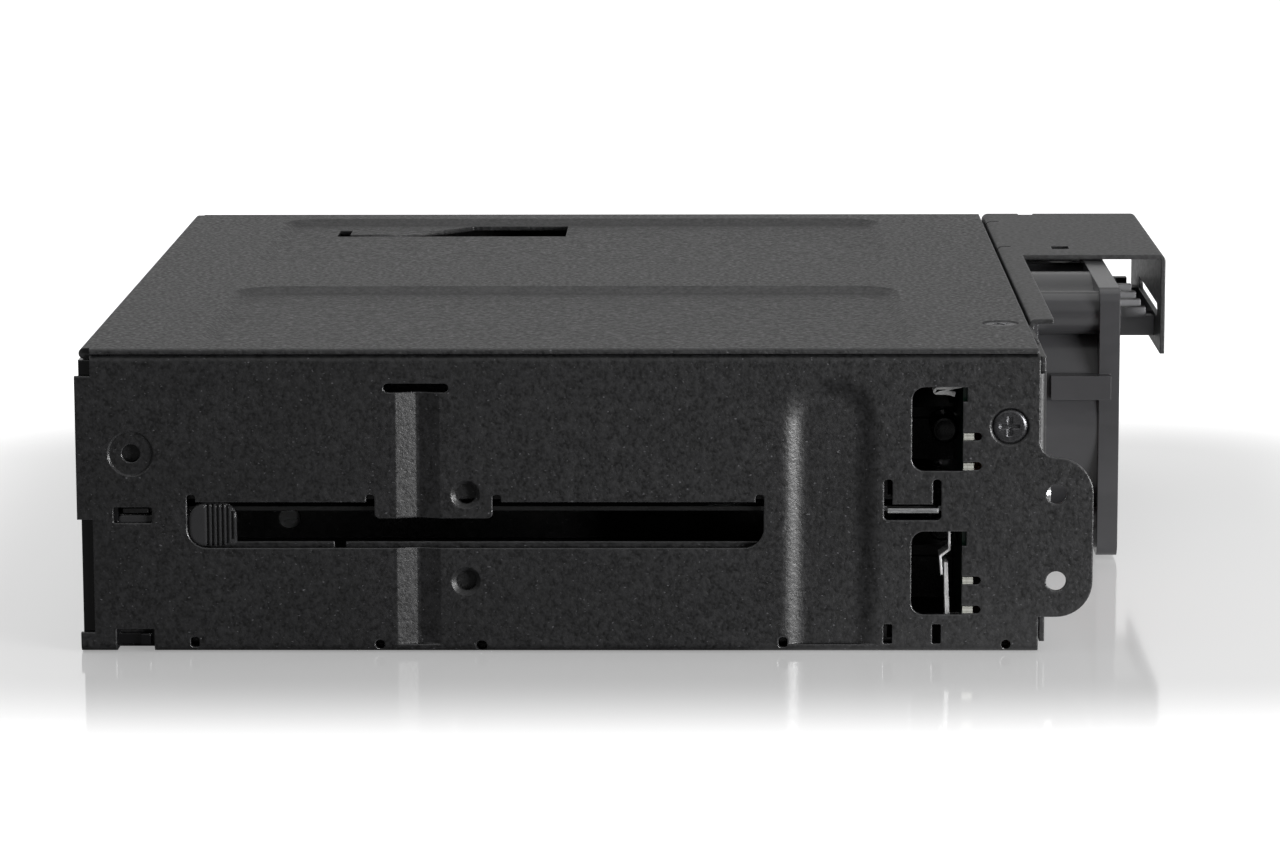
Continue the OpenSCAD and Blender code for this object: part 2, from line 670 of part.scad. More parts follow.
// Pierced floor with a side rail standing on each of its edges
module tray_pan() color("#202022") difference() {
    half = tray_w / 2;
    union() {
        block(-half, half, pan_front - 4.5, pan_back, 0, pan_floor);
        for (s = [-1, 1]) side_on(s < 0 ? -half : half - pan_wall, pan_wall)
            rounded_area(pan_front - 4.5, pan_floor + 0.02, pan_back - 2, pan_wall_h, 0.2);
    }
    linear_extrude_at(-cut, pan_floor + 2 * cut) {
        for (x = [-1, 1], y = [0, 76.6]) translate([x * 30.86, 22 + y]) circle(1.6);
        for (i = [0:6]) long_slot(0, 26 + i * 11, 44, 4.5);
    }
    side_on(-half - cut, tray_w + 2 * cut) {
        for (y = [22, 98.6]) translate([y, pan_floor + 3]) circle(1.6);
        area(34.5, 9, 36, pan_wall_h + cut);
        for (i = [0:3]) long_slot(62 + i * 13, 9, 9, 4);
    }
}

module tray_bezel() color("#242426") difference() {
    half = tray_w / 2 - 0.1;
    union() {
        block(-half, half, 0.4, 4.95, 0.1, tray_h - 0.1);
        block(pan_wall + 0.1 - tray_w / 2, tray_w / 2 - pan_wall - 0.1, 4.9, 11.5, pan_floor + 0.05, tray_h - 0.1);
    }
    block(pivot_x - 1, handle_end + 0.3, -cut, 2.9, rail, tray_h - rail);
    translate([pivot_x, pivot_d, rail]) cylinder(r = 2.8, h = tray_h - 2 * rail);
    block(pivot_x - 2.8, pivot_x, -cut, pivot_d, rail, tray_h - rail);
    translate([pivot_x, pivot_d, 0.3]) cylinder(r = pin_r + 0.01, h = tray_h - 0.6);
    face_on(0, 14) rounded_area(-27.4, 3, 20, tray_h - 3, 1);
    block(-31, 21, 7.5, 14, 2.2, tray_h + cut);
    block(24.2, 33.6, -cut, 9, button_low - 0.2, button_high + 0.2);
    rod_y(-cut, 8, lock_x, lock_z, 2.3);
    for (x = [26.2, 31.8]) rod_y(-cut, 14, x, lens_z, 0.62);
}

// Swinging handle, pierced for air, with a knuckle on the pin and a lip at the free end
module tray_handle() color("#2a2a2c") difference() {
    low = rail + 0.25;
    high = tray_h - rail - 0.25;
    union() {
        translate([pivot_x, pivot_d, low]) cylinder(r = 2.5, h = high - low);
        block(pivot_x, handle_end, 0.6, 2.6, low, high);
    }
    translate([pivot_x, pivot_d, 0]) cylinder(r = pin_r + 0.05, h = tray_h);
    translate([pivot_x, pivot_d, 7.2]) cylinder(r = 2.2, h = 3.2);
    block(pivot_x - 0.3, pivot_x + 2.6, pivot_d - 0.6, 6, 7.2, 10.4);
    for (i = [0:9], j = [0:1]) face_on(0, 5)
        translate([pivot_x + 7.6 + i * 4, 6.2 + j * 5.2]) rotate(90) long_slot(0, 0, 4.2, 2.2);
    face_on(0, 1.4) rounded_area(17.2, 4, 20.6, tray_h - 4, 1.2);
}

module handle_pin() color("#c4c7ca") translate([pivot_x, pivot_d, 0.35]) cylinder(r = pin_r, h = tray_h - 0.7);

module handle_spring() color("#c4c7ca") for (i = [0:4]) translate([pivot_x, pivot_d, 7.7 + i * 0.55])
    rotate_extrude() translate([pin_r + 0.25, 0]) circle(0.24, $fn = 12);

module latch_button() color("#6c6e71") difference() {
    block(24.4, 33.4, 0.5, 6.2, button_low, button_high);
    for (i = [0:3]) block(26 + i * 1.6, 26.8 + i * 1.6, 0, 0.8, button_low + 0.8, button_high - 0.8);
}

module tray_lock() color("#a9acaf") difference() {
    rod_y(0.55, 7.8, lock_x, lock_z, 2.22);
    block(lock_x - 0.35, lock_x + 0.35, 0, 2.4, lock_z - 1.3, lock_z + 1.3);
}

module tray_lens() color("#cfe3ea") for (x = [26.2, 31.8]) rod_y(0.35, 8.5, x, lens_z, 0.6);

// ---- nodes -----------------------------------------------------------------------------------

in_place() chassis();
in_place() top_cover();
in_place() mid_shelf();
in_place() lower_divider();
in_place() upper_divider();
in_place() front_frame();
in_place() side_clips();
in_place() rear_frame();
in_place() case_screws();
in_place() backplane_board();
in_place() board_spacers();
in_place() spacer_screws();
in_place() drive_sockets();
in_place() data_ports();
in_place() power_inlets();
in_place() capacitors();
in_place() ground_clips();
in_place() cable_comb();
in_place() fan_frame();
in_place() fan_bearing();
in_place() fan_stator();
in_place() fan_rotor();
in_place() fan_screws();
in_place() fan_cable();
in_place() fan_header();
in_place() fan_switch();
in_place() fan_switch_knob();
for (n = [1:4]) {
    in_place() at_tray(n) tray_pan();
    in_place() at_tray(n) tray_bezel();
    in_place() at_tray(n) tray_handle();
    in_place() at_tray(n) handle_pin();
    in_place() at_tray(n) handle_spring();
    in_place() at_tray(n) latch_button();
    in_place() at_tray(n) tray_lock();
    in_place() at_tray(n) tray_lens();
}
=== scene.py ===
"""Looks for the drive bay cage: materials for the CAD parts, small details, and a studio.

Everything is in the CAD frame: +Z up, +Y to the rear, +X to the side that the camera faces. Shapes and grain
sizes are in millimetres, and MM turns them into Blender's metres. Lights and the camera are placed in metres.
"""
import math
import random

import bmesh
import bpy
from mathutils import Matrix, Vector


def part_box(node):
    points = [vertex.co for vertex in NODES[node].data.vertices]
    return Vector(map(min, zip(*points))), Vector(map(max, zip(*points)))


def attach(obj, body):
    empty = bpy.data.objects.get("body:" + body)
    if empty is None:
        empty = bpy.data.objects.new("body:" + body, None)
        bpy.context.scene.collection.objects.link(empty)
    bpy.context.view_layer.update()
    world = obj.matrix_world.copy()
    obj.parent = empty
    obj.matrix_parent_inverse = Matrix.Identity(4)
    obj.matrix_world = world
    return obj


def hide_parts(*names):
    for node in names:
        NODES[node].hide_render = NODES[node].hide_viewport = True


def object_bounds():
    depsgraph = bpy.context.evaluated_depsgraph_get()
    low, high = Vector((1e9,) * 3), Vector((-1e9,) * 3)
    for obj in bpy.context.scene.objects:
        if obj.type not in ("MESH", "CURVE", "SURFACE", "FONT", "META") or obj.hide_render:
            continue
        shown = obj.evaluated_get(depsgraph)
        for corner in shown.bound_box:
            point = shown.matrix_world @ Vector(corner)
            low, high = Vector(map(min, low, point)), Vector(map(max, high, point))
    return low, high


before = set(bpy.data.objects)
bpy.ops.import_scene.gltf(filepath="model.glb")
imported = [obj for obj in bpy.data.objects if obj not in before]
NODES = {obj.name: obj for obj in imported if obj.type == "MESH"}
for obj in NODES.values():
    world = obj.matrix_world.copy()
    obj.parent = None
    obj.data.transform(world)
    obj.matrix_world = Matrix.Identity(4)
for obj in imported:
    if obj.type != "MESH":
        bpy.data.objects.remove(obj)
CAD_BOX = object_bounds()
MM = 0.001
TRAYS = (1, 2, 3, 4)


def corners(node):
    """A CAD node's lowest and highest corners, in millimetres."""
    return [Vector(corner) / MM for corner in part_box(node)]


def middle(node):
    low, high = corners(node)
    return (low + high) / 2


# ---- node graphs -----------------------------------------------------------------------------

class Graph:
    """A node tree with short calls for the nodes used here."""

    def __init__(self, tree):
        self.tree = tree
        self.tree.nodes.clear()
        self.normal = None
        self.shader = None

    def add(self, kind, **settings):
        node = self.tree.nodes.new(kind)
        for key, value in settings.items():
            setattr(node, key, value)
        return node

    def join(self, source, target):
        self.tree.links.new(source, target)

    def feed(self, target, value):
        """Links value if it is a socket, and otherwise sets it."""
        if isinstance(value, bpy.types.NodeSocket):
            self.join(value, target)
        else:
            target.default_value = value

    def set(self, name, value):
        self.feed(self.shader.inputs[name], value)

    def stretched(self, scale):
        """Object coordinates scaled along each axis, so that a texture is finer along the larger ones."""
        mapping = self.add("ShaderNodeMapping")
        self.join(self.place, mapping.inputs["Vector"])
        mapping.inputs["Scale"].default_value = scale
        return mapping.outputs["Vector"]

    def noise(self, size_mm, detail=2.0, stretch=(1, 1, 1), distortion=0.0):
        """Noise whose features are about size_mm across."""
        node = self.add("ShaderNodeTexNoise")
        self.join(self.stretched(tuple(s / (size_mm * MM) for s in stretch)), node.inputs["Vector"])
        node.inputs["Scale"].default_value = 1
        node.inputs["Detail"].default_value = detail
        node.inputs["Distortion"].default_value = distortion
        return node.outputs["Fac"]

    def cells(self, size_mm, output="Distance"):
        node = self.add("ShaderNodeTexVoronoi")
        self.join(self.stretched((1 / (size_mm * MM),) * 3), node.inputs["Vector"])
        node.inputs["Scale"].default_value = 1
        return node.outputs[output]

    def bands(self, size_mm, axis="X", distortion=0.0):
        node = self.add("ShaderNodeTexWave", bands_direction=axis)
        self.join(self.stretched((1 / (size_mm * MM),) * 3), node.inputs["Vector"])
        node.inputs["Scale"].default_value = 0.314
        node.inputs["Distortion"].default_value = distortion
        return node.outputs["Fac"]

    def axis(self, name, vector=None):
        """One coordinate: of the object's place in millimetres, or of the vector given."""
        split = self.add("ShaderNodeSeparateXYZ")
        self.join(self.stretched((1 / MM,) * 3) if vector is None else vector, split.inputs["Vector"])
        return split.outputs[name]

    def remap(self, value, low, high, to_low=0.0, to_high=1.0, smooth=False):
        node = self.add("ShaderNodeMapRange", interpolation_type="SMOOTHSTEP" if smooth else "LINEAR")
        self.feed(node.inputs["Value"], value)
        for key, number in (("From Min", low), ("From Max", high), ("To Min", to_low), ("To Max", to_high)):
            node.inputs[key].default_value = number
        return node.outputs["Result"]

    def math(self, operation, a, b=0.0):
        node = self.add("ShaderNodeMath", operation=operation)
        self.feed(node.inputs[0], a)
        self.feed(node.inputs[1], b)
        return node.outputs["Value"]

    def vector(self, operation, a, b=None):
        node = self.add("ShaderNodeVectorMath", operation=operation)
        self.feed(node.inputs[0], a)
        if b is not None:
            self.feed(node.inputs[1], b)
        return node.outputs["Value" if operation in ("LENGTH", "DOT_PRODUCT") else "Vector"]

    def blend(self, share, a, b):
        """Colour a where share is 0 and colour b where it is 1."""
        node = self.add("ShaderNodeMix", data_type="RGBA")
        self.feed(node.inputs["Factor"], share)
        for target, value in ((node.inputs[6], a), (node.inputs[7], b)):
            self.feed(target, value if isinstance(value, bpy.types.NodeSocket) else (*value, 1))
        return node.outputs[2]

    def bump(self, height, depth_mm, strength=1.0):
        """Adds a bump on top of those before it."""
        node = self.add("ShaderNodeBump")
        node.inputs["Strength"].default_value = strength
        node.inputs["Distance"].default_value = depth_mm * MM
        self.feed(node.inputs["Height"], height)
        if self.normal is not None:
            self.join(self.normal, node.inputs["Normal"])
        self.normal = node.outputs["Normal"]
        self.join(self.normal, self.shader.inputs["Normal"])

    def rounded(self, radius_mm):
        """Softens sharp edges in the shading, and returns a mask that is 1 on those edges."""
        node = self.add("ShaderNodeBevel", samples=6)
        node.inputs["Radius"].default_value = radius_mm * MM
        self.normal = node.outputs["Normal"]
        self.join(self.normal, self.shader.inputs["Normal"])
        dot = self.vector("DOT_PRODUCT", self.normal, self.add("ShaderNodeNewGeometry").outputs["Normal"])
        return self.remap(dot, 0.995, 0.8)


class Surface(Graph):
    """A material round one Principled shader."""

    def __init__(self, name, color, roughness, metallic=0.0):
        self.material = bpy.data.materials.new(name)
        self.material.use_nodes = True
        super().__init__(self.material.node_tree)
        self.shader = self.add("ShaderNodeBsdfPrincipled")
        self.output = self.add("ShaderNodeOutputMaterial")
        self.join(self.shader.outputs["BSDF"], self.output.inputs["Surface"])
        self.place = self.add("ShaderNodeTexCoord").outputs["Object"]
        self.set("Base Color", (*color, 1))
        self.set("Roughness", roughness)
        self.set("Metallic", metallic)


def tint(color, factor):
    return tuple(min(1.0, c * factor) for c in color)


def powder_coat(name, color, edge_wear_and_highlight=0.7, grain_mm=0.42, depth_mm=0.05, roughness=0.38, uneven=0.075):
    """Fine-textured black powder coat: sandy grain, soft mottling, sparse pale specks, and lighter edges that
    are partly wear and partly painted highlight.
    """
    g = Surface(name, color, roughness)
    edge = g.rounded(0.3)
    grain = g.noise(grain_mm, 3.0)
    mottle = g.noise(1.2, 5.0, distortion=0.3)
    speck = g.noise(0.32, 1.0, (1, 0.6, 1))
    body = g.blend(g.remap(grain, 0.38, 0.62), tint(color, 0.3), tint(color, 1.6))
    body = g.blend(g.remap(mottle, 0.4, 0.68, 0.0, 0.7), body, tint(color, 2.4))
    body = g.blend(g.remap(g.noise(14.0, 3.0), 0.4, 0.62, 0.0, 0.3), body, tint(color, 0.7))
    body = g.blend(g.remap(speck, 0.7, 0.8, 0.0, 0.8), body, tint(color, 12.0))
    # Lighter colour on the edges: partly paint worn thin, partly painted highlight standing in for light
    # caught on the rounded edges.
    rubbed_and_highlit_edges = g.math("MULTIPLY", edge, g.remap(g.noise(1.6, 4.0), 0.35, 0.7, 0.2, edge_wear_and_highlight))
    g.set("Base Color", g.blend(rubbed_and_highlit_edges, body, tint(color, 9.0)))
    spread = g.remap(g.noise(0.6, 4.0), 0.3, 0.7, roughness - uneven, roughness + uneven)
    g.set("Roughness", g.math("SUBTRACT", spread, g.math("MULTIPLY", edge, 0.15)))
    g.set("Specular IOR Level", g.remap(edge, 0.0, 1.0, 0.5, 0.85))
    g.bump(grain, depth_mm, 0.7)
    g.bump(mottle, depth_mm * 1.3, 0.5)
    return g.material


def zinc(name, color, along=(1, 0.06, 1), roughness=0.3, metallic=0.85):
    """Zinc-coated or bright steel strip: rolled grain, faint spangle, and darker handling marks."""
    g = Surface(name, color, roughness, metallic)
    coat_steel(g, color, along, roughness)
    return g.material


def coat_steel(g, color, along, roughness):
    edge = g.rounded(0.12)
    roll = g.noise(0.12, 4.0, along)
    spangle = g.cells(2.2, output="Color")
    marks = g.noise(6.0, 4.0, distortion=1.0)
    body = g.blend(g.remap(roll, 0.3, 0.7, 0.0, 0.6), tint(color, 0.82), tint(color, 1.1))
    body = g.blend(g.remap(marks, 0.5, 0.75, 0.0, 0.35), body, tint(color, 0.6))
    # Lighter colour on the edges: painted highlight.
    body = g.blend(g.math("MULTIPLY", edge, 0.6), body, tint(color, 1.35))
    g.set("Base Color", body)
    spread = g.remap(roll, 0.3, 0.7, roughness * 0.75, roughness * 1.3)
    g.set("Roughness", g.math("ADD", spread, g.math("MULTIPLY", spangle, 0.06)))
    g.bump(roll, 0.006, 0.5)
    return body


def shelf_steel_painted_shade(name, color, bare):
    """Bare strip steel, painted black as painted shade everywhere except the rear tabs and sprung fingers,
    which keep the bare steel.
    """
    g = Surface(name, color, 0.3, 1.0)
    body = coat_steel(g, bare, (1, 0.06, 1), 0.25)
    reach = g.remap(g.math("ABSOLUTE", g.axis("X")), 71.1, 71.3)
    tabs = g.math("MULTIPLY", reach, g.remap(g.axis("Y"), 0.0, 1.0))
    fingers = g.remap(g.axis("Z"), 19.7, 19.8)
    open_steel = g.math("MAXIMUM", tabs, fingers)
    # The black over the rest of the shelf is painted shade, standing in for the shadow inside the cage.
    grain = g.noise(0.3, 3.0)
    painted_shade_color = g.blend(g.remap(grain, 0.35, 0.65), tint(color, 0.6), tint(color, 1.4))
    g.set("Base Color", g.blend(open_steel, painted_shade_color, body))
    g.set("Metallic", open_steel)
    return g.material


def turned(name, color, roughness=0.22, rim_mm=0.08):
    """Turned or plated metal: fine tool marks and slight tarnish."""
    g = Surface(name, color, roughness, 1.0)
    edge = g.rounded(rim_mm)
    scratch = g.noise(0.05, 3.0, (1, 0.1, 1))
    tarnish = g.noise(1.8, 4.0)
    body = g.blend(g.remap(tarnish, 0.4, 0.75, 0.0, 0.5), color, tint(color, 0.55))
    # Lighter colour on the edges: painted highlight, a bright rim where light catches the rounded edge.
    g.set("Base Color", g.blend(g.math("MULTIPLY", edge, 0.5), body, tint(color, 2.0)))
    g.set("Roughness", g.remap(scratch, 0.3, 0.7, roughness * 0.7, roughness * 1.5))
    g.bump(scratch, 0.004, 0.5)
    return g.material


def moulded(name, color, roughness=0.45, grain_mm=0.22, depth_mm=0.02, rim_mm=0.2):
    """Moulded plastic: spark-eroded grain, slight flow marks, and paler edges as painted highlight."""
    g = Surface(name, color, roughness)
    edge = g.rounded(rim_mm)
    grain = g.noise(grain_mm, 3.0)
    flow = g.noise(7.0, 3.0, (1, 0.4, 1), 0.8)
    body = g.blend(g.remap(flow, 0.35, 0.7, 0.0, 0.7), tint(color, 0.85), tint(color, 1.2))
    # Paler colour on the edges: painted highlight.
    g.set("Base Color", g.blend(g.math("MULTIPLY", edge, 0.35), body, tint(color, 1.9)))
    g.set("Roughness", g.remap(grain, 0.3, 0.7, roughness * 0.8, roughness * 1.2))
    g.bump(grain, depth_mm, 0.6)
    return g.material


def solder_mask(name, color, half_width):
    """Circuit board: mask over copper tracks, bare vias, the weave of the glass, and ears with no mask."""
    g = Surface(name, color, 0.3)
    tracks = g.add("ShaderNodeTexBrick")
    g.join(g.stretched((520, 520, 520)), tracks.inputs["Vector"])
    for key, number in (("Scale", 1), ("Mortar Size", 0.09), ("Brick Width", 2.6), ("Row Height", 0.42)):
        tracks.inputs[key].default_value = number
    copper = g.math("SUBTRACT", 1.0, tracks.outputs["Fac"])
    vias = g.remap(g.cells(1.9), 0.17, 0.14)
    weave = g.math("MULTIPLY", g.bands(0.5, "X"), g.bands(0.5, "Z"))
    body = g.blend(g.math("MULTIPLY", copper, 0.55), tint(color, 0.7), tint(color, 1.5))
    body = g.blend(g.math("MULTIPLY", weave, 0.25), body, tint(color, 1.2))
    body = g.blend(vias, body, (0.62, 0.5, 0.24))
    ears = g.remap(g.math("ABSOLUTE", g.axis("X")), half_width, half_width + 0.1)
    glass = g.blend(weave, (0.2, 0.2, 0.18), (0.36, 0.36, 0.33))
    g.set("Base Color", g.blend(ears, body, glass))
    g.set("Metallic", g.math("MULTIPLY", vias, 0.9))
    g.set("Coat Weight", 0.4)
    g.bump(copper, 0.03, 0.7)
    return g.material


def winding(name, color):
    """Enamelled copper wire wound close."""
    g = Surface(name, color, 0.28, 0.9)
    turns = g.bands(0.26, "Y", 0.4)
    g.set("Base Color", g.blend(turns, tint(color, 0.35), tint(color, 1.25)))
    g.set("Roughness", g.remap(g.noise(0.4), 0.3, 0.7, 0.2, 0.42))
    g.bump(turns, 0.08, 0.9)
    return g.material


def light_pipe(name, color):
    """Clear plastic with faint clouding."""
    g = Surface(name, color, 0.12)
    cloud = g.noise(0.6, 3.0)
    g.set("Base Color", g.blend(cloud, tint(color, 0.8), (0.97, 0.99, 1.0)))
    g.set("Transmission Weight", 0.75)
    g.set("IOR", 1.49)
    g.set("Roughness", g.remap(cloud, 0.3, 0.7, 0.06, 0.25))
    g.bump(cloud, 0.01, 0.4)
    return g.material


def paper_label(name, color):
    """Foil-faced label, blank, with a faint weave and scuffed patches."""
    g = Surface(name, color, 0.35, 0.3)
    fibre = g.noise(0.25, 4.0, (1, 1, 0.3))
    scuff = g.noise(2.4, 5.0, distortion=0.7)
    body = g.blend(g.remap(fibre, 0.3, 0.7), tint(color, 0.86), tint(color, 1.08))
    g.set("Base Color", g.blend(g.remap(scuff, 0.6, 0.75, 0.0, 0.4), body, tint(color, 0.55)))
    g.set("Roughness", g.remap(scuff, 0.3, 0.7, 0.25, 0.5))
    g.bump(fibre, 0.01, 0.4)
    return g.material


def paint(material, *names):
    """Gives CAD nodes one material in every slot."""
    for name in names:
        mesh = NODES[name].data
        mesh.materials.clear()
        mesh.materials.append(material)


def each_tray(stem):
    return [f"{stem}_{n}" for n in TRAYS]


BLACK = (0.0075, 0.0075, 0.0079)
STEEL = (0.56, 0.57, 0.58)
BRIGHT = (0.7, 0.71, 0.72)
GOLD = (0.78, 0.56, 0.2)
BOARD_HALF = 71.2


def paint_all():
    paint(powder_coat("powder_coat_sides", BLACK), "chassis")
    paint(powder_coat("powder_coat_cover", BLACK, 0.6, 0.5, 0.13, 0.44, 0.16), "top_cover")
    paint(powder_coat("powder_coat_rear", BLACK, 0.5, 0.34, 0.02, 0.42), "rear_frame")
    paint(powder_coat("tray_coat", tint(BLACK, 0.9)), *each_tray("tray_pan"))
    paint(shelf_steel_painted_shade("shelf_strip", tint(BLACK, 0.4), BRIGHT), "mid_shelf")
    paint(zinc("zinc_sheet", STEEL), "lower_divider", "upper_divider")
    strip = zinc("spring_strip", (0.9, 0.9, 0.9), (1, 1, 0.06), 0.25, 0.45)
    paint(strip, "ground_clips", *each_tray("handle_pin"))
    paint(moulded("clip_plastic", (0.022, 0.022, 0.023), 0.1, 0.3, 0.006, 0.6), "side_clips")
    paint(moulded("frame_plastic", (0.002, 0.002, 0.0024), 0.1, 0.3, 0.006, 0.35), "front_frame")
    paint(turned("black_zinc", (0.11, 0.11, 0.115), 0.26, 0.4), "case_screws")
    paint(turned("plated_screw", (0.55, 0.55, 0.56)), "spacer_screws", "fan_screws")
    paint(turned("brass_turned", (0.6, 0.44, 0.18)), "board_spacers", "fan_bearing")
    paint(solder_mask("board_mask", (0.006, 0.035, 0.02), BOARD_HALF), "backplane_board")
    paint(moulded("socket_plastic", (0.008, 0.008, 0.009), 0.3, 0.15), "drive_sockets", "power_inlets")
    paint(moulded("port_plastic", (0.3, 0.03, 0.02), 0.35, 0.15), "data_ports")
    paint(moulded("comb_plastic", (0.15, 0.15, 0.155), 0.35), "cable_comb")
    paint(moulded("fan_plastic", (0.035, 0.035, 0.037), 0.22, 0.2, 0.012), "fan_frame")
    paint(moulded("rotor_plastic", (0.014, 0.014, 0.015), 0.3), "fan_rotor")
    paint(winding("motor_winding", (0.5, 0.2, 0.07)), "fan_stator")
    paint(moulded("header_nylon", (0.6, 0.57, 0.46), 0.45), "fan_header")
    paint(zinc("switch_can", (0.5, 0.5, 0.51)), "fan_switch")
    paint(moulded("knob_plastic", (0.55, 0.55, 0.53), 0.4), "fan_switch_knob")
    paint(moulded("bezel_plastic", (0.013, 0.013, 0.014), 0.4), *each_tray("tray_bezel"))
    paint(moulded("handle_plastic", (0.018, 0.018, 0.0195), 0.34), *each_tray("tray_handle"))
    paint(moulded("button_plastic", (0.09, 0.093, 0.098), 0.4), *each_tray("latch_button"))
    paint(turned("lock_plating", (0.5, 0.5, 0.51), 0.25), *each_tray("tray_lock"))
    paint(light_pipe("light_pipe", (0.8, 0.9, 0.94)), *each_tray("tray_lens"))


# ---- mesh building ---------------------------------------------------------------------------

class Shape:
    """Collects points, in millimetres, and faces, and makes one object of them."""

    def __init__(self):
        self.points = []
        self.faces = []

    def loft(self, rings):
        """Joins closed rings of equally many points, and closes both ends."""
        count = len(rings[0])
        base = len(self.points)
        for ring in rings:
            self.points.extend(Vector(p) for p in ring)
        for r in range(len(rings) - 1):
            low = base + r * count
            for i in range(count):
                j = (i + 1) % count
                self.faces.append((low + i, low + j, low + count + j, low + count + i))
        self.faces.append(tuple(base + i for i in reversed(range(count))))
        last = base + (len(rings) - 1) * count
        self.faces.append(tuple(last + i for i in range(count)))

    def sweep(self, path, section, start_up=(0, 0, 1)):
        """Carries a section, points (side, up), along a path without twisting it."""
        path = [Vector(p) for p in path]
        up = Vector(start_up)
        rings = []
        for before, point, after in zip(path[:1] + path, path, path[1:] + path[-1:]):
            way = (after - before).normalized()
            up = (up - way * up.dot(way)).normalized()
            side = way.cross(up)
            rings.append([point + side * a + up * b for a, b in section])
        self.loft(rings)

    def tube(self, path, radius, sides=12):
        self.sweep(path, circle(radius, sides))

    def strip(self, path, width, thickness, start_up=(0, 0, 1)):
        self.sweep(path, rounded_section(width, thickness, min(width, thickness) * 0.25), start_up)

    def block(self, low, high, rounding=0.15, corner=0.3):
        """A moulded block standing along y, with its corners and both ends rounded."""
        low, high = Vector(low), Vector(high)
        centre = (low + high) / 2
        size = high - low
        rings = []
        slight = rounding * 0.3
        for y, inset in ((low.y, rounding), (low.y + slight, slight), (low.y + rounding, 0),
                         (high.y - rounding, 0), (high.y - slight, slight), (high.y, rounding)):
            section = rounded_section(size.x - 2 * inset, size.z - 2 * inset, max(corner - inset, 0.05))
            rings.append([(centre.x - a, y, centre.z + b) for a, b in section])
        self.loft(rings)

    def make(self, name, body, material, slot, replaces=None):
        mesh = bpy.data.meshes.new(name)
        mesh.from_pydata([p * MM for p in self.points], [], self.faces)
        shell = bmesh.new()
        shell.from_mesh(mesh)
        bmesh.ops.recalc_face_normals(shell, faces=shell.faces)
        shell.to_mesh(mesh)
        shell.free()
        mesh.shade_smooth()
        mesh.materials.append(material)
        piece = bpy.data.objects.new(name, mesh)
        bpy.context.scene.collection.objects.link(piece)
        sharp = piece.modifiers.new("edges", "EDGE_SPLIT")
        sharp.split_angle = math.radians(50)
        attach(piece, body)
        if replaces:
            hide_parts(replaces)
        return piece


def circle(radius, sides):
    turn = 2 * math.pi / sides
    return [(radius * math.cos(i * turn), radius * math.sin(i * turn)) for i in range(sides)]


def rounded_section(width, height, radius):
    """A rectangle with round corners, as points (side, up)."""
    points = []
    steps = 3
    for k, (sx, sy) in enumerate(((1, 1), (-1, 1), (-1, -1), (1, -1))):
        for i in range(steps + 1):
            angle = math.pi / 2 * (k + i / steps)
            points.append((sx * (width / 2 - radius) + radius * math.cos(angle),
                           sy * (height / 2 - radius) + radius * math.sin(angle)))
    return points


def bent(points, radius, steps=5):
    """A path through points, with each corner rounded off."""
    points = [Vector(p) for p in points]
    path = [points[0]]
    for before, here, after in zip(points, points[1:], points[2:]):
        back, on = before - here, after - here
        reach = min(radius, back.length * 0.45, on.length * 0.45)
        start, end = here + back.normalized() * reach, here + on.normalized() * reach
        for i in range(steps + 1):
            t = i / steps
            path.append(start * (1 - t) ** 2 + here * (2 * t * (1 - t)) + end * t ** 2)
    path.append(points[-1])
    return path


# ---- small parts -----------------------------------------------------------------------------

def handle_springs(material):
    """Torsion springs: four and a half turns round the handle's pin, with a leg at each end."""
    for n in TRAYS:
        low, high = corners(f"handle_spring_{n}")
        axis = middle(f"handle_pin_{n}")
        radius, wire, turns, steps = 1.03, 0.22, 4.5, 22
        count = int(turns * steps)
        coil = []
        for i in range(count + 1):
            angle = 2 * math.pi * i / steps
            z = low.z + wire + (high.z - low.z - 2 * wire) * i / count
            coil.append(Vector((axis.x + radius * math.cos(angle), axis.y + radius * math.sin(angle), z)))
        first = coil[0] - Vector((0, 1.7, 0))
        last = coil[-1] + Vector((0, 1.7, 0))
        shape = Shape()
        shape.tube([first] + coil + [last], wire, 8)
        shape.make(f"torsion_spring_{n}", f"tray_{n}", material, "spring_steel", f"handle_spring_{n}")


def fan_leads():
    """Three sleeved leads from the motor, round the fan's side and through the frame to the header."""
    low, high = corners("fan_cable")
    header = corners("fan_header")
    pitch = (high.z - low.z) / 3
    colors = (("black", (0.012, 0.012, 0.013)), ("red", (0.36, 0.018, 0.012)), ("yellow", (0.62, 0.42, 0.03)))
    for i, (word, color) in enumerate(colors):
        z = low.z + pitch * (i + 0.5)
        outer = low.x + 3.3 - 0.15 * i
        route = [(high.x + 0.5, high.y - 0.5, z), (outer + 0.6, high.y - 0.6, z), (outer, high.y - 2.2, z),
                 (outer, low.y + 12, z), (low.x + 0.5, low.y + 8.6, z), (low.x + 0.5, header[1].y - 0.4, z)]
        shape = Shape()
        shape.tube(bent(route, 1.6), 0.44, 14)
        name = f"fan_lead_{word}"
        shape.make(name, "cage", moulded(name, color, 0.36, 0.5, 0.006), "lead_sleeve", "fan_cable")


def contact_row(shape, centre, count, pitch, length, forward, width=0.62):
    """Springy contacts lying side by side along x, each with a raised nose near its tip."""
    for i in range(count):
        x = centre[0] + (i - (count - 1) / 2) * pitch
        y, z = centre[1], centre[2]
        route = [(x, y, z), (x, y + forward * length * 0.55, z), (x, y + forward * length * 0.78, z + 0.28),
                 (x, y + forward * length, z - 0.02)]
        shape.strip(bent(route, 0.5, 3), width, 0.14)


PORTS = ((28, 12), (52, 12), (28, 29), (52, 29))
INLETS = ((-52, 9), (-52, 20))
SOCKET_OFFSET = -9.4    # from the middle of a tray's pan to the middle of its socket
SOCKET_RISE = 4.1       # from the pan's underside to the socket's middle
CONTACT_DROP = 0.95     # from the socket's middle to its contacts


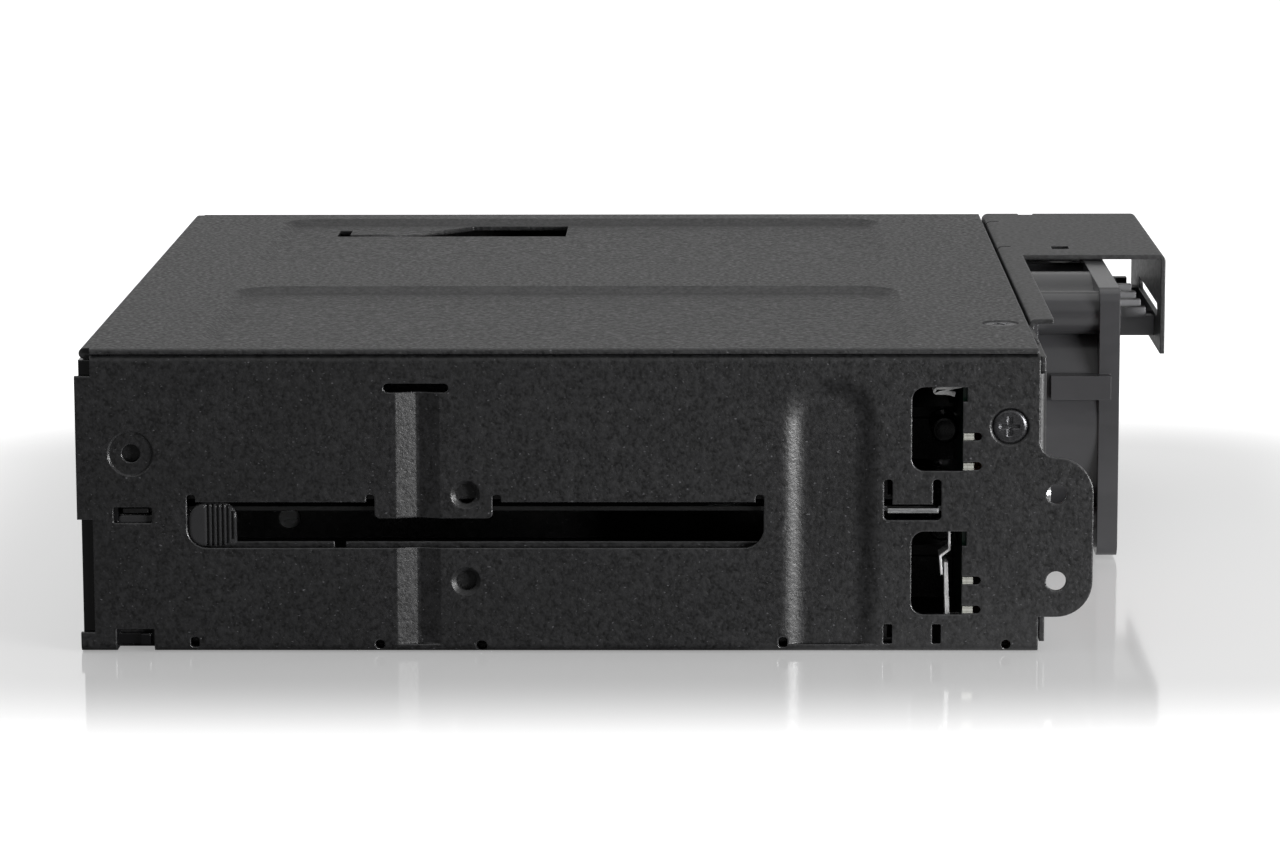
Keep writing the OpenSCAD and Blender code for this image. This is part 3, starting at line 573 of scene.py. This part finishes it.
def contacts(material):
    sockets = corners("drive_sockets")
    for n in TRAYS:
        pan_low, pan_high = corners(f"tray_pan_{n}")
        x = (pan_low.x + pan_high.x) / 2 + SOCKET_OFFSET
        z = pan_low.z + SOCKET_RISE - CONTACT_DROP
        shape = Shape()
        contact_row(shape, (x - 9.9, sockets[1].y - 1.5, z), 7, 1.2, 4.4, -1)
        contact_row(shape, (x + 7.5, sockets[1].y - 1.5, z), 15, 1.12, 4.4, -1, 0.56)
        shape.make(f"socket_contacts_{n}", "cage", material, "brass_spacers")
    port_back = corners("data_ports")[1].y
    inlet_back = corners("backplane_board")[1].y + 10.6
    shape = Shape()
    for x, z in PORTS:
        contact_row(shape, (x - 0.6, port_back - 6.4, z + 0.69), 7, 1.2, 5.4, 1)
    shape.make("port_contacts", "cage", material, "brass_spacers")
    shape = Shape()
    for x, z in INLETS:
        contact_row(shape, (x - 0.6, inlet_back - 7.4, z + 0.69), 15, 1.12, 6.2, 1, 0.56)
    shape.make("inlet_contacts", "cage", material, "brass_spacers")


def chip(shape, leads, x, z, width, height, face, legs):
    """A flat package on the board's rear face, with gull-wing leads along two sides."""
    low = (x - width / 2, face + 0.12, z - height / 2)
    high = (x + width / 2, face + 1.0, z + height / 2)
    shape.block(low, high, 0.12, 0.2)
    pitch = (width - 0.8) / (legs - 1)
    for i in range(legs):
        at = x - (width - 0.8) / 2 + i * pitch
        for s in (-1, 1):
            edge = z + s * height / 2
            route = [(at, face + 0.55, edge - s * 0.1), (at, face + 0.55, edge + s * 0.35),
                     (at, face + 0.07, edge + s * 0.55), (at, face + 0.07, edge + s * 1.0)]
            leads.strip(bent(route, 0.15, 3), 0.3, 0.12, (0, 1, 0))


# Middle x and z, width, height, and leads along each side.
CHIPS = ((40, 20.6, 7, 4.4, 10), (27, 20.6, 5, 3.8, 7), (-29, 22.4, 3.2, 5, 4))


def board_parts(tinned):
    """Packages, resistors and ceramic capacitors on the rear of the backplane."""
    face = corners("backplane_board")[1].y
    body, leads, ends, resistors, ceramics = (Shape() for _ in range(5))
    for x, z, width, height, legs in CHIPS:
        chip(body, leads, x, z, width, height, face, legs)
    draw = random.Random(7)
    spots = [(x, z) for z in (5.6, 18.2, 23.4, 35.2) for x in range(17, 63, 3)]
    for x, z in spots:
        in_port = any(abs(x - port_x) < 10 and abs(z - port_z) < 5 for port_x, port_z in PORTS)
        in_chip = any(abs(x - chip_x) < 5.5 and abs(z - chip_z) < 4 for chip_x, chip_z, *_ in CHIPS)
        if in_port or in_chip or draw.random() < 0.25:
            continue
        x += draw.uniform(-0.5, 0.5)
        kind = resistors if draw.random() < 0.55 else ceramics
        kind.block((x - 0.55, face + 0.02, z - 0.5), (x + 0.55, face + 0.5, z + 0.5), 0.06, 0.1)
        for s in (-1, 1):
            inner, outer = sorted((x + s * 0.5, x + s * 0.95))
            ends.block((inner, face + 0.01, z - 0.53), (outer, face + 0.53, z + 0.53), 0.08, 0.12)
    package = moulded("package_epoxy", (0.012, 0.012, 0.013), 0.42, 0.12)
    body.make("board_packages", "cage", package, "socket_plastic")
    leads.make("package_leads", "cage", tinned, "plated_screws")
    ends.make("chip_terminals", "cage", tinned, "plated_screws")
    resistors.make("chip_resistors", "cage", package, "socket_plastic")
    ceramic = moulded("ceramic_body", (0.33, 0.22, 0.12), 0.4, 0.15)
    ceramics.make("chip_capacitors", "cage", ceramic, "header_plastic")


def fan_label():
    """Blank round label, slightly domed, on the back of the fan's hub."""
    back = corners("fan_frame")[1].y
    hub = middle("fan_rotor")
    rings = []
    for radius, lift in ((8.5, 0.0), (8.5, 0.05), (8.3, 0.08), (7.6, 0.085), (7.4, 0.075), (2.5, 0.08)):
        rings.append([(hub.x - a, back + lift, hub.z + b) for a, b in circle(radius, 48)])
    shape = Shape()
    shape.loft(rings)
    shape.make("fan_label", "cage", paper_label("label_foil", (0.32, 0.33, 0.34)), "comb_plastic")


def earth_hooks(material):
    """Bright looped springs behind the top of the upper windows."""
    board = corners("backplane_board")[0].y
    for word, side in (("right", 1), ("left", -1)):
        shape = Shape()
        for i, x in enumerate((70.2, 69.2, 68.2)):
            start, end = 35.7 + 0.1 * i, 34.7 - 0.2 * i
            loop = ((0.1, 35.9), (1.4, start), (3.4, 35.4), (3.8, 35.0), (2.2, 35.0), (1.0, end))
            route = [(side * x, board - gap, z) for gap, z in loop]
            shape.strip(bent(route, 0.6), 0.7, 0.13, (side, 0, 0))
        shape.make(f"earth_hook_{word}", "cage", material, "spring_steel")


def capacitor_cans(sleeve, metal):
    """Electrolytic cans lying along x on the front of the backplane, in grooved sleeves."""
    board = corners("backplane_board")[0].y
    radius = 1.9
    cans, ends, leads = Shape(), Shape(), Shape()
    for tip, z in ((62.0, 28.4), (55.5, 13.6)):
        back = tip - 7.6
        y = board - radius - 0.08
        profile = ((0, 0.82), (0.12, 0.96), (0.35, 1.0), (1.1, 1.0), (1.35, 0.93), (1.6, 0.93), (1.85, 1.0),
                   (7.0, 1.0), (7.35, 0.97), (7.5, 0.88), (7.56, 0.8))
        cans.loft([[(back + d, y + a, z + b) for a, b in circle(radius * r, 32)] for d, r in profile])
        face = ((7.2, 0.78), (7.58, 0.78), (7.6, 0.74), (7.57, 0.7), (7.57, 0.1))
        ends.loft([[(back + d, y + a, z + b) for a, b in circle(radius * r, 32)] for d, r in face])
        for s in (-1, 1):
            at = z + s * 0.75
            route = [(back + 0.3, y, at), (back - 1.4, y, at), (back - 1.4, board + 0.3, at)]
            leads.tube(bent(route, 0.5), 0.24, 10)
    cans.make("capacitor_sleeves", "cage", sleeve, "socket_plastic", "capacitors")
    ends.make("capacitor_ends", "cage", sleeve, "socket_plastic")
    leads.make("capacitor_leads", "cage", metal, "plated_screws")


def small_parts():
    spring_wire = zinc("spring_wire", BRIGHT, (1, 1, 0.06), 0.2)
    tinned = turned("tinned_lead", (0.62, 0.62, 0.63), 0.28)
    handle_springs(spring_wire)
    fan_leads()
    contacts(turned("gold_plating", GOLD, 0.2))
    board_parts(tinned)
    fan_label()
    earth_hooks(zinc("hook_strip", (0.8, 0.8, 0.8), (1, 1, 1), 0.12))
    capacitor_cans(moulded("sleeve_plastic", (0.004, 0.004, 0.005), 0.25, 0.5, 0.01), tinned)


# ---- studio ----------------------------------------------------------------------------------

def floor():
    """Pale sheet, glossy only near the object, so that its reflection fades out with distance."""
    mesh = bpy.data.meshes.new("floor")
    reach = 6.0
    outline = [(x * reach, y * reach, 0) for x, y in ((-1, -1), (1, -1), (1, 1), (-1, 1))]
    mesh.from_pydata(outline, [], [(0, 1, 2, 3)])
    plane = bpy.data.objects.new("floor", mesh)
    bpy.context.scene.collection.objects.link(plane)
    plane.location.z = -0.0002
    g = Surface("floor_paper", (0.85, 0.85, 0.85), 0.5)
    half = [(CAD_BOX[1][i] - CAD_BOX[0][i]) / 2 for i in (0, 1)]
    centre = [(CAD_BOX[1][i] + CAD_BOX[0][i]) / 2 for i in (0, 1)]
    from_centre = g.vector("ABSOLUTE", g.vector("SUBTRACT", g.place, (*centre, 0)))
    beyond = g.vector("SUBTRACT", from_centre, (*half, 1))
    distance = g.vector("LENGTH", g.vector("MAXIMUM", beyond, (0, 0, 0)))
    near = g.remap(distance, 0.014, 0.074, 0.62, 0.0, smooth=True)
    grazing = g.remap(g.add("ShaderNodeLayerWeight").outputs["Facing"], 0.45, 0.78, smooth=True)
    shine = g.math("MULTIPLY", near, grazing)
    gloss = g.add("ShaderNodeBsdfGlossy")
    gloss.inputs["Roughness"].default_value = 0.07
    glow = g.add("ShaderNodeEmission")
    glow.inputs["Strength"].default_value = 0.75
    matte = g.add("ShaderNodeAddShader")
    g.join(g.shader.outputs["BSDF"], matte.inputs[0])
    g.join(glow.outputs["Emission"], matte.inputs[1])
    seen = mixed(g, shine, matte.outputs["Shader"], gloss.outputs["BSDF"])
    dim = g.add("ShaderNodeBsdfDiffuse")
    dim.inputs["Color"].default_value = (0.18, 0.18, 0.18, 1)
    fill = g.add("ShaderNodeEmission")
    across = g.math("SUBTRACT", g.axis("X"), g.remap(g.axis("Y"), -30, 30, -30, 26, smooth=True))
    g.feed(fill.inputs["Strength"], g.remap(across, 84, 60, 0.0, 0.4, smooth=True))
    unseen = g.add("ShaderNodeAddShader")
    g.join(dim.outputs["BSDF"], unseen.inputs[0])
    g.join(fill.outputs["Emission"], unseen.inputs[1])
    camera_ray = g.add("ShaderNodeLightPath").outputs["Is Camera Ray"]
    g.join(mixed(g, camera_ray, unseen.outputs["Shader"], seen), g.output.inputs["Surface"])
    mesh.materials.append(g.material)


def mixed(g, share, a, b):
    node = g.add("ShaderNodeMixShader")
    g.feed(node.inputs[0], share)
    g.join(a, node.inputs[1])
    g.join(b, node.inputs[2])
    return node.outputs["Shader"]


def sky():
    """White to the camera. To the object it is bright low down on the far side, and dimmer elsewhere."""
    world = bpy.data.worlds.new("studio")
    bpy.context.scene.world = world
    world.use_nodes = True
    g = Graph(world.node_tree)
    way = g.add("ShaderNodeTexCoord").outputs["Generated"]
    height = g.axis("Z", way)
    across = g.axis("X", way)
    far_side = g.remap(across, 0.1, -0.6, 0.0, 0.65, smooth=True)
    low_down = g.remap(height, 0.45, 0.15, 0.45, 1.0, smooth=True)
    behind = g.remap(g.axis("Y", way), 0.75, 0.97, 0.0, 0.7, smooth=True)
    in_front = g.remap(g.axis("Y", way), -0.5, -0.8, 0.0, 0.5, smooth=True)
    in_front = g.math("MULTIPLY", in_front, g.remap(across, -0.2, -0.5, smooth=True))
    raised = g.remap(height, 0.1, 0.5, 0.05, 0.62, smooth=True)
    soft = g.math("MAXIMUM", g.math("MULTIPLY", far_side, low_down), raised)
    soft = g.math("MAXIMUM", soft, g.math("MAXIMUM", behind, in_front))
    camera_ray = g.add("ShaderNodeLightPath").outputs["Is Camera Ray"]
    background = g.add("ShaderNodeBackground")
    g.feed(background.inputs["Strength"], g.math("MAXIMUM", soft, camera_ray))
    g.join(background.outputs["Background"], g.add("ShaderNodeOutputWorld").inputs["Surface"])


def area_light(name, place, target, size, power):
    light = bpy.data.lights.new(name, "AREA")
    light.shape = "RECTANGLE"
    light.size, light.size_y = size
    light.energy = power
    lamp = bpy.data.objects.new(name, light)
    bpy.context.scene.collection.objects.link(lamp)
    lamp.location = place
    lamp.rotation_mode = "QUATERNION"
    lamp.rotation_quaternion = (Vector(target) - Vector(place)).to_track_quat("-Z", "Y")
    lamp.visible_camera = False


def studio():
    floor()
    sky()
    area_light("overhead", (-0.15, -0.1, 0.9), (0, 0, 0), (0.9, 0.9), 2.0)
    area_light("key", (0.47, 0.5, 0.06), (0.07, 0.0, 0.02), (0.36, 0.2), 8.8)
    bpy.context.scene.view_settings.view_transform = "Standard"


def camera():
    """Faces the right side from a little above, with no lens shift."""
    lens = bpy.data.cameras.new("camera")
    lens.sensor_width = 36
    lens.lens = 132.3
    lens.clip_start, lens.clip_end = 0.05, 20
    eye = bpy.data.objects.new("camera", lens)
    bpy.context.scene.collection.objects.link(eye)
    eye.location = (0.6931, -0.0061, 0.1363)
    yaw, pitch, roll = (math.radians(a) for a in (-0.932, 9.655, -0.178))
    ahead = Vector((-math.cos(pitch) * math.cos(yaw), math.cos(pitch) * math.sin(yaw), -math.sin(pitch)))
    eye.rotation_mode = "QUATERNION"
    eye.rotation_quaternion = ahead.to_track_quat("-Z", "Y") @ Matrix.Rotation(roll, 3, "Z").to_quaternion()
    bpy.context.scene.camera = eye


paint_all()
small_parts()
studio()
camera()
